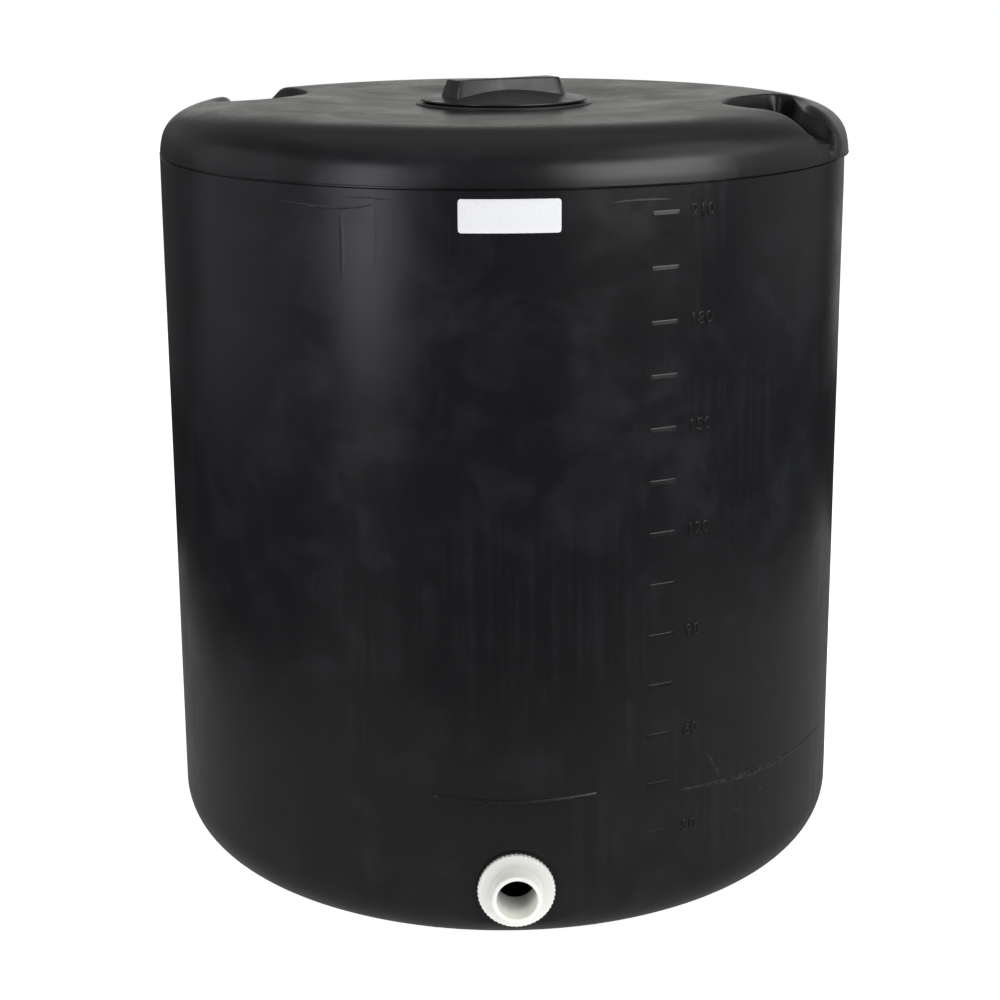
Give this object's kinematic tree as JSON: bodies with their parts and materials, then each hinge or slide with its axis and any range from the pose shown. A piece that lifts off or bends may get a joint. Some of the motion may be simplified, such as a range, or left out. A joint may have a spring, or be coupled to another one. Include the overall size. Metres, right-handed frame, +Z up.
{
  "type": "vertical storage tank",
  "caption": "Upright round plastic storage tank with a rounded shoulder, a flat roof, lifting lugs, a screw lid with a hand grip and a flanged outlet at its foot.",
  "frame": {"origin": "middle of the tank's round base, at floor level", "axes": "+Z up along the tank's axis; the outlet fitting faces -Y; +X is to the right of someone who faces the outlet"},
  "size_m": [1.0215, 1.0436, 1.1528],
  "materials": {
    "tank_plastic": "satin, as moulded",
    "lid_plastic": "satin, fine texture",
    "seal_rubber": "matt",
    "natural_plastic": "smooth, slightly waxy",
    "label_vinyl": "smooth"
  },
  "bodies": {
    "tank": {"floor_plate": "tank_plastic", "wall_segment_01": "tank_plastic", "wall_segment_02": "tank_plastic", "wall_segment_03": "tank_plastic", "wall_segment_04": "tank_plastic", "wall_segment_05": "tank_plastic", "wall_segment_06": "tank_plastic", "wall_segment_07": "tank_plastic", "wall_segment_08": "tank_plastic", "wall_segment_09": "tank_plastic", "wall_segment_10": "tank_plastic", "wall_segment_11": "tank_plastic", "wall_segment_12": "tank_plastic", "shoulder_front": "tank_plastic", "shoulder_front_right": "tank_plastic", "shoulder_right": "tank_plastic", "shoulder_back_right": "tank_plastic", "shoulder_back_left": "tank_plastic", "shoulder_left": "tank_plastic", "shoulder_front_left": "tank_plastic", "roof_deck": "tank_plastic", "lid_collar": "lid_plastic", "outlet_gasket": "seal_rubber", "outlet_fitting": "natural_plastic", "outlet_nut": "natural_plastic", "front_label": "label_vinyl"},
    "seal": {"lid_seal": "seal_rubber"},
    "lid": {"lid_cap": "lid_plastic"}
  },
  "joints": [
    {"name": "lid_lift", "type": "slide", "parent": "tank", "child": "seal", "axis": [0, 0, 1], "range_m": [0, 0.15]},
    {"name": "lid_turn", "type": "hinge", "parent": "seal", "child": "lid", "pos_m": [0.003, 0, 1.1213], "axis": [0, 0, 1], "range_deg": [0, 540]}
  ]
}
